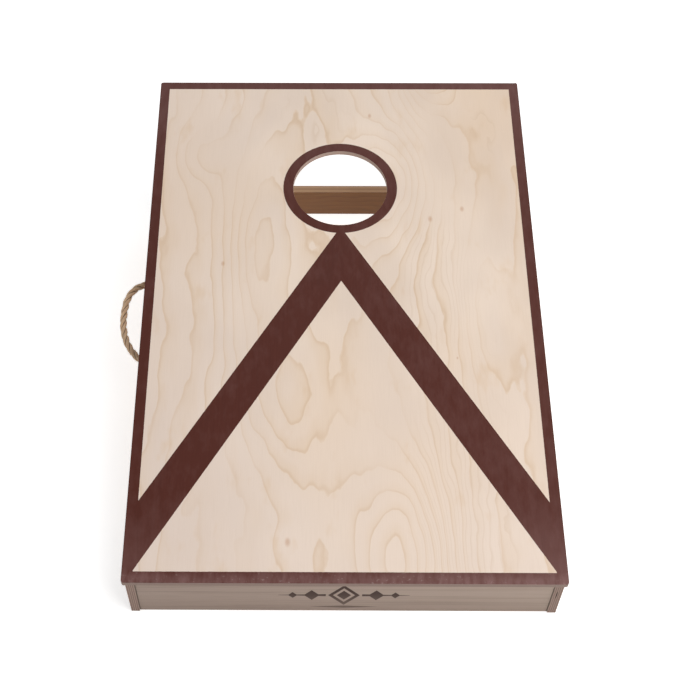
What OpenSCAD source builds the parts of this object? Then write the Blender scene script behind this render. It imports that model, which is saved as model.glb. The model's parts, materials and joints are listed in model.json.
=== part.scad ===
// Cornhole board: a sloping plywood deck with one round hole, on a plywood frame with
// folding rear legs, a crossbar and a rope carrying handle. All sizes are in millimetres.
//
// The board is drawn in its own deck frame (X across, Y from the front edge to the rear
// edge, Z square to the deck, zero on the top face) and deck_frame() then tilts it on to
// the floor: +Z up, front edge towards -Y, the floor at Z = 0.

/* [Deck] */
// Width of the deck
deck_w = 600; // [560:1:640]
// Length of the deck along its slope
deck_l = 900; // [860:1:940]
// Thickness of the deck's plywood
deck_t = 9; // [9:0.5:12]
// Radius of the deck's four corners
deck_corner_r = 4; // [2:0.5:10]
// Diameter of the target hole
hole_d = 150; // [130:1:160]
// Distance from the rear edge to the middle of the target hole
hole_from_rear = 225; // [205:1:240]
// Slope of the deck with the legs folded out, in degrees
tilt = 13; // [12:0.5:14]

/* [Frame] */
// Height of the four rails
rail_h = 91; // [88:1:96]
// Thickness of the rails' and brace's plywood
rail_t = 12; // [11:0.5:14]
// How far the deck stands past each side rail
side_overhang = 5; // [5:0.5:8]
// Gap from the deck's ends to the side rails' ends
side_rail_inset = 1; // [0.5:0.5:3]
// Gap from the deck's ends to the front and rear rails
end_rail_inset = 3; // [2:0.5:5]
// Height of the centre brace
brace_h = 62; // [50:1:75]
// Side of the square front corner blocks
block_w = 24; // [22:1:30]
// Width of the battens under the deck
batten_w = 20; // [18:1:24]
// Depth of the battens under the deck
batten_h = 14; // [10:0.5:14]

/* [Legs] */
// Width of a leg, seen from the side
leg_w = 62; // [54:1:62]
// Thickness of the legs and the crossbar
leg_t = 15; // [14:0.5:18]
// Height of the crossbar
bar_h = 62; // [50:1:64]
// Distance from the pivot down to the crossbar's top edge
bar_drop = 146; // [120:1:148]
// Gap between a side rail and its leg, filled by the spacer
leg_gap = 1.5; // [1:0.1:3]

/* [Hardware] */
// Diameter of the carriage bolts that the legs turn on
bolt_d = 8; // [6:1:8]
// Length of a carriage bolt under its head
bolt_len = 45; // [44:1:48]
// Diameter of the bolts' domed heads
bolt_head_d = 20; // [18:0.5:21]
// Diameter of the spacers and of the flat washers
washer_d = 22; // [20:1:24]
// Span of the wing nuts across their wings
wing_span = 36; // [32:1:40]
// Diameter of the wood screws' heads
screw_head_d = 8; // [7:0.5:9]

/* [Rope handle] */
// Diameter of the rope
rope_d = 10; // [8:0.5:10]
// Diameter of the two rope holes in the left side rail
rope_hole_d = 12; // [12:0.5:14]
// Diameter of the stopper knots
knot_d = 27; // [24:1:30]

/* [Hidden] */
total_h = deck_t + rail_h;
mid_y = deck_l / 2;
side_x = deck_w / 2 - side_overhang;
inner_x = side_x - rail_t;
side_y0 = side_rail_inset;
side_y1 = deck_l - side_rail_inset;
end_y0 = end_rail_inset;
end_y1 = deck_l - end_rail_inset;
front_inner_y = end_y0 + rail_t;
rear_inner_y = end_y1 - rail_t;
hole_y = deck_l - hole_from_rear;

// Legs: their rear edges stop against the rear rail, and the pivot is level with the
// middle of the rails, so that the folded legs lie inside the frame.
stop_gap = 0.3;
pivot_y = rear_inner_y - stop_gap - leg_w / 2;
pivot_z = -deck_t - rail_h / 2;
leg_x1 = inner_x - leg_gap;
leg_x0 = leg_x1 - leg_t;
run_gap = 0.1;

// Fasteners
bolt_hole_d = bolt_d + 2 * run_gap;
bolt_head_h = 4.5;
neck_w = bolt_d;
neck_len = 4;
washer_t = 1.6;
nut_hub_h = 9;
nut_base_d = 16;
nut_top_d = 12;
wing_t = 3;
screw_d = 4;
screw_cone_h = 2.6;
screw_clear = 0.1;
frame_screw_len = 30;
deck_screw_len = 20;
frame_screw_z = [-deck_t - 22, -deck_t - rail_h + 22];
brace_screw_z = [-deck_t - 24, -deck_t - brace_h + 14];
bar_screw_drop = [bar_drop + 16, bar_drop + bar_h - 16];
side_batten_screw_y = [100, 300, 600, 790];
end_batten_screw_x = [-180, 0, 180];

// Rope: the two holes, and the loop's route as [out from the side rail's face, along the
// slope from the middle, up from the holes' level].
rope_z = -50;
rope_hole_half = 70;
knot_len = 26;
rope_tail = 14;
rope_loop = [
    [0, 70, 0], [9, 69.5, 0], [19, 66, -0.5], [28, 59, -1], [34, 50, -1.5], [38, 38, -2],
    [40, 24, -3], [40.5, 8, -3], [39.5, -8, -3], [36.5, -23, -3], [32, -37, -2], [25, -50, -1.5],
    [17, -61, -1], [9, -68, -0.5], [0, -70, 0]
];
rope_sides = 10;
rope_steps = 2;

$fn = 64;

screw_nodes = concat(
    [for (s = ["left", "right"], p = ["front", "rear", "brace", "bar"], i = [1, 2]) str(p, "_screw_", s, "_", i)],
    [for (s = ["left", "right"], i = [1 : len(side_batten_screw_y)]) str("deck_screw_", s, "_", i)],
    [for (s = ["front", "rear"], i = [1 : len(end_batten_screw_x)]) str("deck_screw_", s, "_", i)]
);

// ---- Frames and shared shapes ----

// Where the floor cuts the deck frame's Z at a place along the slope
function floor_z(y) = -total_h - (y - side_y0) * tan(tilt);

// The model's origin is under the middle of its length: from the deck's front edge to the
// rear corner of the feet.
front_reach = -side_y0 * cos(tilt) - total_h * sin(tilt);
rear_reach = (pivot_y + leg_w / 2 - side_y0) / cos(tilt);
origin_shift = -(front_reach + rear_reach) / 2;

module deck_frame()
    translate([0, origin_shift, 0]) rotate([tilt, 0, 0]) translate([0, -side_y0, total_h]) children();

// A solid of even thickness along X whose side view is drawn with x along the slope and y up
module side_plate(x, thickness)
    translate([x, 0, 0]) rotate([90, 0, 90]) linear_extrude(thickness) children();

// Points along X outwards from the board's middle on one side: +1 right, -1 left
module on_side(side) mirror([side < 0 ? 1 : 0, 0, 0]) children();

module box_between(low, high) translate(low) cube(high - low);

// A countersunk wood screw pointing down from the origin, and the hole that it fills
module screw_profile(length, grow)
    rotate_extrude() polygon([
        [0, grow > 0 ? 1 : 0],
        [screw_head_d / 2 + grow, grow > 0 ? 1 : 0],
        [screw_head_d / 2 + grow, -0.4],
        [screw_d / 2 + grow, -screw_cone_h],
        [screw_d / 2 + grow, -length + 3 - grow],
        [0, -length - grow]
    ]);

module wood_screw(length) color([0.72, 0.70, 0.66]) difference() {
    screw_profile(length, 0);
    for (turn = [0, 90]) rotate(turn) translate([-2.3, -0.6, -1.5]) cube([4.6, 1.2, 2]);
}

module screw_hole(length) screw_profile(length, screw_clear);

// Places of the screws: each module puts its children at one screw, pointing into the wood
module at_side_screw(side, y, z) on_side(side) translate([side_x, y, z]) rotate([0, 90, 0]) children();
module at_bar_screw(side, drop)
    on_side(side) translate([leg_x1, pivot_y - leg_w / 2 + leg_t / 2, pivot_z - drop]) rotate([0, 90, 0]) children();
module at_deck_screw(x, y) translate([x, y, -deck_t - batten_h]) rotate([180, 0, 0]) children();

front_screw_y = front_inner_y + block_w / 2;
rear_screw_y = rear_inner_y + rail_t / 2;

module holes_front(side) for (z = frame_screw_z) at_side_screw(side, front_screw_y, z) screw_hole(frame_screw_len);
module holes_rear(side) for (z = frame_screw_z) at_side_screw(side, rear_screw_y, z) screw_hole(frame_screw_len);
module holes_brace(side) for (z = brace_screw_z) at_side_screw(side, mid_y, z) screw_hole(frame_screw_len);
module holes_bar(side) for (drop = bar_screw_drop) at_bar_screw(side, drop) screw_hole(frame_screw_len);
module holes_side_batten(side)
    for (y = side_batten_screw_y) at_deck_screw(side * (inner_x - batten_w / 2), y) screw_hole(deck_screw_len);
module holes_end_batten(y) for (x = end_batten_screw_x) at_deck_screw(x, y) screw_hole(deck_screw_len);

front_batten_y = front_inner_y + batten_w / 2;
rear_batten_y = rear_inner_y - batten_w / 2;

// ---- Wood ----

module rounded_rect(w, l, r) {
    translate([-w / 2 + r, 0]) square([w - 2 * r, l]);
    translate([-w / 2, r]) square([w, l - 2 * r]);
    for (x = [-w / 2 + r, w / 2 - r], y = [r, l - r]) translate([x, y]) circle(r);
}

module deck() color([0.87, 0.80, 0.72]) deck_frame() difference() {
    translate([0, 0, -deck_t]) linear_extrude(deck_t) difference() {
        rounded_rect(deck_w, deck_l, deck_corner_r);
        translate([0, hole_y]) circle(hole_d / 2, $fn = 96);
    }
    for (side = [-1, 1]) holes_side_batten(side);
    holes_end_batten(front_batten_y);
    holes_end_batten(rear_batten_y);
}

module end_rail(y) box_between([-inner_x, y, -total_h], [inner_x, y + rail_t, -deck_t]);

module front_rail() color([0.58, 0.53, 0.49]) deck_frame() end_rail(end_y0);

module rear_rail() color([0.58, 0.53, 0.49]) deck_frame() difference() {
    end_rail(rear_inner_y);
    for (side = [-1, 1]) holes_rear(side);
}

module side_rail(side) difference() {
    on_side(side) box_between([inner_x, side_y0, -total_h], [side_x, side_y1, -deck_t]);
    holes_front(side);
    holes_rear(side);
    holes_brace(side);
    on_side(side) translate([inner_x - 1, pivot_y, pivot_z]) rotate([0, 90, 0]) cylinder(d = bolt_hole_d, h = rail_t + 2);
    on_side(side) translate([side_x - neck_len - run_gap, pivot_y, pivot_z])
        translate([0, -neck_w / 2 - run_gap, -neck_w / 2 - run_gap])
            cube([neck_len + 1, neck_w + 2 * run_gap, neck_w + 2 * run_gap]);
}

module left_rail() color([0.58, 0.53, 0.49]) deck_frame() difference() {
    side_rail(-1);
    for (end = [-1, 1]) translate([-side_x - 1, mid_y + end * rope_hole_half, rope_z])
        rotate([0, 90, 0]) cylinder(d = rope_hole_d, h = rail_t + 2);
}

module right_rail() color([0.58, 0.53, 0.49]) deck_frame() side_rail(1);

// The brace is notched at both ends around the side battens
module centre_brace() color([0.80, 0.72, 0.62]) deck_frame() difference() {
    box_between([-inner_x, mid_y - rail_t / 2, -deck_t - brace_h], [inner_x, mid_y + rail_t / 2, -deck_t]);
    for (side = [-1, 1]) {
        on_side(side) box_between(
            [inner_x - batten_w, mid_y - rail_t, -deck_t - batten_h], [inner_x + 1, mid_y + rail_t, -deck_t + 1]
        );
        holes_brace(side);
    }
}

module corner_block(side) color([0.80, 0.70, 0.55]) deck_frame() difference() {
    on_side(side) box_between(
        [inner_x - block_w, front_inner_y, -total_h + 6], [inner_x, front_inner_y + block_w, -deck_t]
    );
    holes_front(side);
}

module side_batten(side) color([0.80, 0.70, 0.55]) deck_frame() difference() {
    on_side(side) box_between(
        [inner_x - batten_w, front_inner_y + block_w, -deck_t - batten_h], [inner_x, rear_inner_y, -deck_t]
    );
    holes_side_batten(side);
}

module end_batten(y, half_w) color([0.80, 0.70, 0.55]) deck_frame() difference() {
    box_between([-half_w, y - batten_w / 2, -deck_t - batten_h], [half_w, y + batten_w / 2, -deck_t]);
    holes_end_batten(y);
}

// ---- Legs ----

// Round at the pivot, cut off level with the floor at the foot
module leg_outline() difference() {
    union() {
        translate([pivot_y, pivot_z]) circle(leg_w / 2);
        translate([pivot_y - leg_w / 2, pivot_z - 2 * deck_l / 3]) square([leg_w, 2 * deck_l / 3]);
    }
    polygon([
        [pivot_y - leg_w, floor_z(pivot_y - leg_w)],
        [pivot_y + leg_w, floor_z(pivot_y + leg_w)],
        [pivot_y + leg_w, -deck_l],
        [pivot_y - leg_w, -deck_l]
    ]);
}

module leg(side) color([0.42, 0.28, 0.20]) deck_frame() difference() {
    on_side(side) side_plate(leg_x0, leg_t) leg_outline();
    on_side(side) translate([leg_x0 - 1, pivot_y, pivot_z]) rotate([0, 90, 0]) cylinder(d = bolt_hole_d, h = leg_t + 2);
    holes_bar(side);
}

module leg_crossbar() color([0.42, 0.28, 0.20]) deck_frame() difference() {
    box_between(
        [-leg_x0, pivot_y - leg_w / 2, pivot_z - bar_drop - bar_h],
        [leg_x0, pivot_y - leg_w / 2 + leg_t, pivot_z - bar_drop]
    );
    for (side = [-1, 1]) holes_bar(side);
}

// ---- Pivot hardware, each drawn along +X from the side rail's outer face inwards ----

module at_pivot(side, x) deck_frame() on_side(side) translate([x, pivot_y, pivot_z]) rotate([0, -90, 0]) children();

module pivot_bolt(side) color([0.75, 0.75, 0.76]) at_pivot(side, side_x) {
    head_r = bolt_head_d / 2;
    dome_r = (head_r * head_r + bolt_head_h * bolt_head_h) / (2 * bolt_head_h);
    difference() {
        translate([0, 0, dome_r - bolt_head_h]) sphere(dome_r);
        translate([-2 * dome_r, -2 * dome_r, 0]) cube(4 * dome_r);
    }
    translate([-neck_w / 2, -neck_w / 2, 0]) cube([neck_w, neck_w, neck_len]);
    cylinder(d = bolt_d, h = bolt_len);
}

module ring(outer_d, inner_d, h) difference() {
    cylinder(d = outer_d, h = h);
    translate([0, 0, -1]) cylinder(d = inner_d, h = h + 2);
}

module leg_spacer(side) color([0.90, 0.90, 0.88]) at_pivot(side, inner_x)
    ring(washer_d, bolt_d + 0.4, leg_gap - run_gap);

washer_x = leg_x0 - run_gap;
module nut_washer(side) color([0.75, 0.75, 0.76]) at_pivot(side, washer_x) ring(washer_d, bolt_d + 0.4, washer_t);

// One wing: a flat plate with a round tip, leaning outwards from the hub
module wing_outline() {
    tip_r = 5;
    tip = [wing_span / 2 - tip_r, nut_hub_h + 3];
    translate(tip) circle(tip_r);
    polygon([[4.6, 1], [nut_base_d / 2, 0.5], tip + [3.6, -3.5], tip + [-3.6, 3.5], [4.6, nut_hub_h - 1]]);
}

nut_x = washer_x - washer_t - run_gap;
module wing_nut(side) color([0.78, 0.78, 0.79]) at_pivot(side, nut_x) difference() {
    union() {
        rotate_extrude() polygon([[0, 0], [nut_base_d / 2, 0], [nut_base_d / 2, 1.5], [nut_top_d / 2, nut_hub_h], [0, nut_hub_h]]);
        for (turn = [0, 180]) rotate([90, 0, turn]) translate([0, 0, -wing_t / 2]) linear_extrude(wing_t) wing_outline();
    }
    translate([0, 0, -1]) cylinder(d = bolt_hole_d, h = nut_hub_h + 30);
}

// ---- Rope handle ----

// The route from the inner face of the side rail, out, round the loop and back in
rope_route = concat(
    [[-inner_x, mid_y + rope_hole_half, rope_z]],
    [for (p = rope_loop) [-side_x - p[0], mid_y + p[1], rope_z + p[2]]],
    [[-inner_x, mid_y - rope_hole_half, rope_z]]
);

// A smooth curve through the route's points, with rope_steps rings for each stretch
function catmull(a, b, c, d, t) =
    0.5 * (2 * b + (c - a) * t + (2 * a - 5 * b + 4 * c - d) * t * t + (3 * b - a - 3 * c + d) * t * t * t);
function route_at(i) = rope_route[min(max(i, 0), len(rope_route) - 1)];
rope_line = concat(
    [for (i = [0 : len(rope_route) - 2], k = [0 : rope_steps - 1])
        catmull(route_at(i - 1), route_at(i), route_at(i + 1), route_at(i + 2), k / rope_steps)],
    [rope_route[len(rope_route) - 1]]
);

function unit(v) = v / norm(v);
function heading(i) = unit(rope_line[min(i + 1, len(rope_line) - 1)] - rope_line[max(i - 1, 0)]);

// The tube's rings, each square to the rope and with its first point straight above the rope
module rope_tube() {
    count = len(rope_line);
    points = [for (i = [0 : count - 1], k = [0 : rope_sides - 1])
        let (along = heading(i), across = unit(cross(along, [0, 0, 1])), up = cross(across, along), a = 360 * k / rope_sides)
        rope_line[i] + rope_d / 2 * (cos(a) * up + sin(a) * across)];
    walls = [for (i = [0 : count - 2], k = [0 : rope_sides - 1])
        let (a = i * rope_sides + k, b = i * rope_sides + (k + 1) % rope_sides)
        [a, b, b + rope_sides, a + rope_sides]];
    start_cap = [for (k = [rope_sides - 1 : -1 : 0]) k];
    end_cap = [for (k = [0 : rope_sides - 1]) (count - 1) * rope_sides + k];
    polyhedron(points, concat(walls, [start_cap, end_cap]), convexity = 4);
}

module rope_handle() color([0.66, 0.54, 0.38]) deck_frame() rope_tube();

// A stopper knot inside the side rail, with the rope's short tail
module rope_knot(end) color([0.66, 0.54, 0.38]) deck_frame()
    translate([-inner_x, mid_y + end * rope_hole_half, rope_z]) rotate([0, 90, 0]) {
        flat = knot_d / 2 - 5;
        rotate_extrude() intersection() {
            union() {
                translate([flat, knot_len / 2]) circle(5);
                translate([flat, 5]) circle(5);
                translate([flat, knot_len - 5]) circle(5);
                square([flat, knot_len]);
                translate([flat, 5]) square([5, knot_len - 10]);
            }
            square([knot_d, knot_len]);
        }
        cylinder(d = rope_d, h = knot_len + rope_tail);
    }

// ---- The nodes ----

deck();
front_rail();
rear_rail();
left_rail();
right_rail();
centre_brace();
corner_block(-1);  // corner_block_left
corner_block(1);  // corner_block_right
end_batten(front_batten_y, inner_x - block_w);  // batten_front
end_batten(rear_batten_y, inner_x - batten_w);  // batten_rear
side_batten(-1);  // batten_left
side_batten(1);  // batten_right
leg(-1);  // leg_left
leg(1);  // leg_right
leg_crossbar();
pivot_bolt(-1);  // pivot_bolt_left
pivot_bolt(1);  // pivot_bolt_right
leg_spacer(-1);  // leg_spacer_left
leg_spacer(1);  // leg_spacer_right
nut_washer(-1);  // nut_washer_left
nut_washer(1);  // nut_washer_right
wing_nut(-1);  // wing_nut_left
wing_nut(1);  // wing_nut_right
rope_handle();
rope_knot(-1);  // rope_knot_front
rope_knot(1);  // rope_knot_rear
for (side = [-1, 1]) {
    name = side < 0 ? "left" : "right";
    for (i = [0, 1]) {
        deck_frame() at_side_screw(side, front_screw_y, frame_screw_z[i]) wood_screw(frame_screw_len);
        deck_frame() at_side_screw(side, rear_screw_y, frame_screw_z[i]) wood_screw(frame_screw_len);
        deck_frame() at_side_screw(side, mid_y, brace_screw_z[i]) wood_screw(frame_screw_len);
        deck_frame() at_bar_screw(side, bar_screw_drop[i]) wood_screw(frame_screw_len);
    }
    for (i = [0 : len(side_batten_screw_y) - 1])
        deck_frame() at_deck_screw(side * (inner_x - batten_w / 2), side_batten_screw_y[i]) wood_screw(deck_screw_len);
}
for (i = [0 : len(end_batten_screw_x) - 1]) {
    deck_frame() at_deck_screw(end_batten_screw_x[i], front_batten_y) wood_screw(deck_screw_len);
    deck_frame() at_deck_screw(end_batten_screw_x[i], rear_batten_y) wood_screw(deck_screw_len);
}
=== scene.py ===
"""Looks for the bag toss board: wood, painted pattern, laid rope, hardware, camera and light."""

import json
import math
import random

import bmesh
import bpy
from mathutils import Matrix, Vector


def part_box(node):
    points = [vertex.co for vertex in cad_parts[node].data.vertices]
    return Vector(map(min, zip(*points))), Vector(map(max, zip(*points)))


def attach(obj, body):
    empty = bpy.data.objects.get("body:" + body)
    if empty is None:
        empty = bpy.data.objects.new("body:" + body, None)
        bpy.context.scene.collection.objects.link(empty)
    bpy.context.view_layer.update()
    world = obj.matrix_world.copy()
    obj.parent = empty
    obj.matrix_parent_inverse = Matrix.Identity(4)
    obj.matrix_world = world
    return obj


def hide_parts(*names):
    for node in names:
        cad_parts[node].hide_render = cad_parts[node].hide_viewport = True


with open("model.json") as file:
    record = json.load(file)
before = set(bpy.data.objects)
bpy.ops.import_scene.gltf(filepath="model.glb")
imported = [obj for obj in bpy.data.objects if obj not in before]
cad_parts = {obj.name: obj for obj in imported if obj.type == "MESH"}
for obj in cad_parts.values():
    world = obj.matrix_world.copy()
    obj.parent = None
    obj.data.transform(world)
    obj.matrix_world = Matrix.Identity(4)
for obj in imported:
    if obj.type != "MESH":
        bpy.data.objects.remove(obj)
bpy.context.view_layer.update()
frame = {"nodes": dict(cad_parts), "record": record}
record = frame["record"]
random.seed(41)

# ---------------------------------------------------------------- named sizes, in metres
# Places on the board are in the deck's own frame: x from the middle line, y up the slope from the
# deck's front edge, z square to the deck with 0 on its top
TILT = math.radians(13.0)  # the deck's slope
DECK_THICK = 0.009
RAIL_THICK = 0.012
RAIL_OUT = 0.295  # from the middle line to a side rail's outer face
RAIL_FRONT = 0.003  # the front rail's outer face
RAIL_REAR = 0.897  # the rear rail's outer face
BOARD_MIDDLE = 0.450  # halfway up the slope
HOLE_MIDDLE = 0.675

BORDER_HALF = 0.2845  # bare wood starts this far from the middle line
BORDER_FRONT = 0.0165
BORDER_REAR = 0.885
RING_RADIUS = 0.0908
TENT_SLOPE = 1.669  # the triangle's sides: rise along the deck for each step across
TENT_OUTER = 0.596
TENT_INNER = 0.493
PAINT_SOFT = 0.0002  # half the width over which the paint's edge fades

JOINT_FROM = RAIL_OUT - RAIL_THICK  # where the end rails butt against the side rails
# the width of the painted shadow line in the gap at that joint
JOINT_SHADOW_WIDE = 0.0016
TAUPE_WRAP = 0.4448  # the side rails' taupe tone, partly painted shade, wraps round their ends this far from the board's middle
TAUPE_FADE = 0.0008
VOID_DEEP = 0.0070  # a gap in the right rail's core, painted dark as the shade inside it: its depth from the outer face
VOID_HIGH = -0.0375
VOID_HALF_WIDE = 0.0009
VOID_HALF_LONG = 0.0125
ORNAMENT_HIGH = -0.046
ORNAMENT_HALF = 0.090

ROPE_WIDE = 0.010
ROPE_LAY = 0.044  # length of rope for one full turn of a strand
ROPE_SPACING = 0.0011  # between the points of the rope's middle line
ROPE_IN_HOLE = 14  # how many of those points at each end stand in the rail, where no fibres show
STRAND_RADIUS = 0.00265
STRAND_OUT = 0.00262  # from the rope's middle to a strand's
YARN_RIDGE = 0.075  # how high the yarns stand on a strand, as a share of its radius
HAIR_RADIUS = 0.00011
HAIR_ROOT = 0.0007  # how deep in the rope a loose fibre starts
HAIR_STEPS = 4
ROPE_HALF_SPAN = 0.070
ROPE_HIGH = -0.050
ROPE_MIDDLE = BOARD_MIDDLE
# The loop's route: out from the rail, along from its middle, up from the holes
ROPE_LOOP = [
    (0.0, 0.070, 0.0), (0.009, 0.0695, 0.0), (0.019, 0.066, -0.0005),
    (0.028, 0.059, -0.001), (0.034, 0.050, -0.0015), (0.038, 0.038, -0.002),
    (0.040, 0.024, -0.003), (0.0405, 0.008, -0.003), (0.0395, -0.008, -0.003),
    (0.0365, -0.023, -0.003), (0.032, -0.037, -0.002), (0.025, -0.050, -0.0015),
    (0.017, -0.061, -0.001), (0.009, -0.068, -0.0005), (0.0, -0.070, 0.0),
]

# ---------------------------------------------------------------- the deck's own frame
deck_low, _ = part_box("deck")
DECK_ORIGIN = Vector((0.0, deck_low.y, deck_low.z + DECK_THICK * math.cos(TILT)))
DECK_TURN = Matrix.Rotation(TILT, 3, "X")


def on_deck(x, y, z=0.0):
    """The place in the row frame of a point given in the deck's own frame."""
    return DECK_ORIGIN + DECK_TURN @ Vector((x, y, z))


def deck_way(x, y, z):
    """The direction in the row frame of a direction given in the deck's own frame."""
    return DECK_TURN @ Vector((x, y, z))


# ---------------------------------------------------------------- camera
CAMERA_PLACE = Vector((-0.0442, -1.6404, 1.7071))
CAMERA_TARGET = Vector((-0.0629, 0.0075, 0.2063))
CAMERA_ROLL = math.radians(-0.30)
LENS_LENGTH = 75.17  # millimetres, as is the sensor's width
SENSOR_WIDTH = 36.0
SHIFT_ACROSS = 0.0714  # the picture's shift, in sensor widths
SHIFT_UP = -0.0929

lens = bpy.data.cameras.new("camera")
lens.lens = LENS_LENGTH
lens.sensor_width = SENSOR_WIDTH
lens.shift_x = SHIFT_ACROSS
lens.shift_y = SHIFT_UP
lens.clip_end = 60.0
camera = bpy.data.objects.new("camera", lens)
bpy.context.scene.collection.objects.link(camera)
sight = (CAMERA_TARGET - CAMERA_PLACE).to_track_quat("-Z", "Y").to_matrix().to_4x4()
camera.matrix_world = Matrix.Translation(CAMERA_PLACE) @ sight @ Matrix.Rotation(CAMERA_ROLL, 4, "Z")
bpy.context.scene.camera = camera


# ---------------------------------------------------------------- light and sky
def softbox(name, place, target, size, watts, tint):
    """A square studio light at place, facing target."""
    lamp = bpy.data.lights.new(name, "AREA")
    lamp.shape = "SQUARE"
    lamp.size = size
    lamp.energy = watts
    lamp.color = tint
    holder = bpy.data.objects.new(name, lamp)
    bpy.context.scene.collection.objects.link(holder)
    turn = (Vector(target) - Vector(place)).to_track_quat("-Z", "Y").to_matrix().to_4x4()
    holder.matrix_world = Matrix.Translation(place) @ turn


softbox("key_light", place=(1.15, -1.35, 2.4), target=(0.0, -0.15, 0.1), size=2.0, watts=57.0,
        tint=(1.0, 0.99, 0.975))
softbox("top_light", place=(0.2, 2.3, 2.4), target=(0.0, 0.2, 0.1), size=2.4, watts=24.0,
        tint=(1.0, 1.0, 1.0))

bpy.context.scene.view_settings.view_transform = "Standard"
bpy.context.scene.view_settings.look = "None"

SKY_LIGHT = 0.30  # how strongly the sky lights the board
SKY_SEEN = 0.92  # how bright it looks where the camera sees it
world = bpy.data.worlds.new("studio")
bpy.context.scene.world = world
world.use_nodes = True
sky = world.node_tree.nodes["Background"]
sky.inputs["Color"].default_value = (0.96, 0.98, 1.0, 1.0)
# The sky's strength is SKY_LIGHT, raised to SKY_SEEN for rays that come from the camera
seen = world.node_tree.nodes.new("ShaderNodeLightPath")
brighter = world.node_tree.nodes.new("ShaderNodeMath")
brighter.operation = "MULTIPLY_ADD"
brighter.inputs[1].default_value = SKY_SEEN - SKY_LIGHT
brighter.inputs[2].default_value = SKY_LIGHT
world.node_tree.links.new(seen.outputs["Is Camera Ray"], brighter.inputs[0])
world.node_tree.links.new(brighter.outputs[0], sky.inputs["Strength"])


# ---------------------------------------------------------------- a short way to write shaders
class Value:
    """One number that varies over a surface, with the usual arithmetic."""

    def __init__(self, shader, socket):
        self.shader = shader
        self.socket = socket

    def __add__(self, other):
        return self.shader.math("ADD", self, other)

    def __sub__(self, other):
        return self.shader.math("SUBTRACT", self, other)

    def __rsub__(self, other):
        return self.shader.math("SUBTRACT", other, self)

    def __mul__(self, other):
        return self.shader.math("MULTIPLY", self, other)

    def __truediv__(self, other):
        return self.shader.math("DIVIDE", self, other)

    __radd__ = __add__
    __rmul__ = __mul__


class Shader:
    """A material, and the nodes that its colour, roughness and bump are worked out with."""

    def __init__(self, name):
        self.material = bpy.data.materials.new(name)
        self.material.use_nodes = True
        self.tree = self.material.node_tree
        self.surface = self.tree.nodes["Principled BSDF"]
        self.coordinates = self.tree.nodes.new("ShaderNodeTexCoord")

    def feed(self, socket, value):
        """Links a Value or socket to an input, or sets the input to a number, colour or vector."""
        if isinstance(value, Value):
            value = value.socket
        if isinstance(value, bpy.types.NodeSocket):
            self.tree.links.new(value, socket)
        else:
            socket.default_value = value

    def node(self, kind, values=(), **settings):
        """A new node: values feed its inputs, and settings are its own properties."""
        new = self.tree.nodes.new(kind)
        for key, setting in settings.items():
            setattr(new, key, setting)
        for key, value in dict(values).items():
            self.feed(new.inputs[key], value)
        return new

    def math(self, operation, first, second=0.0, third=0.0):
        """The Value of one math node."""
        new = self.node("ShaderNodeMath", {0: first, 1: second, 2: third}, operation=operation)
        return Value(self, new.outputs[0])

    def vector(self, x, y, z=0.0):
        return self.node("ShaderNodeCombineXYZ", {0: x, 1: y, 2: z}).outputs[0]

    def split(self, socket):
        """The x, y and z of a vector socket, as three Values."""
        new = self.node("ShaderNodeSeparateXYZ", {0: socket})
        return [Value(self, out) for out in new.outputs]

    def noise(self, vector, scale=1.0, detail=2.0, roughness=0.5, distortion=0.0):
        """Cloudy noise from about 0 to 1, and 0.5 on average."""
        values = {"Vector": vector, "Scale": scale, "Detail": detail, "Roughness": roughness,
                  "Distortion": distortion}
        return Value(self, self.node("ShaderNodeTexNoise", values).outputs[0])

    def step(self, value, low, high):
        """0 below low and 1 above high, and the other way round where low is above high."""
        if low > high:
            values = {"Value": value, "From Min": high, "From Max": low, "To Min": 1.0, "To Max": 0.0}
        else:
            values = {"Value": value, "From Min": low, "From Max": high}
        new = self.node("ShaderNodeMapRange", values, interpolation_type="SMOOTHSTEP")
        return Value(self, new.outputs[0])

    def blend(self, amount, low, high):
        """The colour low where amount is 0, and high where it is 1."""
        new = self.node("ShaderNodeMix", {0: amount, 6: low, 7: high}, data_type="RGBA")
        return new.outputs[2]

    def coats(self, colour, *coats):
        """The colour with each coat, an amount and a tint, laid over it in turn."""
        for amount, tint in coats:
            colour = self.blend(amount, colour, tint)
        return colour

    def size(self, value):
        """The value without its sign."""
        return self.math("ABSOLUTE", value)

    def greatest(self, *values):
        """The greatest of several Values."""
        most = values[0]
        for value in values[1:]:
            most = self.math("MAXIMUM", most, value)
        return most

    def least(self, first, second):
        """The lesser of two Values."""
        return self.math("MINIMUM", first, second)

    def finish(self, colour, roughness, height=None, relief=0.0002, strength=1.0, **fixed):
        """Sets the surface. relief is the bump's depth in metres."""
        self.feed(self.surface.inputs["Base Color"], colour)
        self.feed(self.surface.inputs["Roughness"], roughness)
        if height is not None:
            bump = self.node("ShaderNodeBump", {"Height": height, "Distance": relief, "Strength": strength})
            self.feed(self.surface.inputs["Normal"], bump.outputs[0])
        for key, value in fixed.items():
            self.surface.inputs[key.replace("_", " ")].default_value = value
        return self.material

    def in_deck_frame(self):
        """The point's place in the deck's frame, as x, y and z."""
        values = {"Vector": self.coordinates.outputs["Object"], "Location": DECK_ORIGIN,
                  "Rotation": (TILT, 0.0, 0.0)}
        return self.split(self.node("ShaderNodeMapping", values, vector_type="TEXTURE").outputs[0])

    def facing_in_deck_frame(self):
        """How squarely the surface faces along the deck frame's x, y and z."""
        values = {"Vector": self.coordinates.outputs["Normal"], "Rotation": (-TILT, 0.0, 0.0)}
        return self.split(self.node("ShaderNodeMapping", values, vector_type="POINT").outputs[0])


def rgb(red, green, blue):
    """A shader colour from the 0 to 255 numbers that a screen shows."""
    def linear(value):
        value = value / 255.0
        return value / 12.92 if value <= 0.04045 else ((value + 0.055) / 1.055) ** 2.4
    return (linear(red), linear(green), linear(blue), 1.0)


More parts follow.
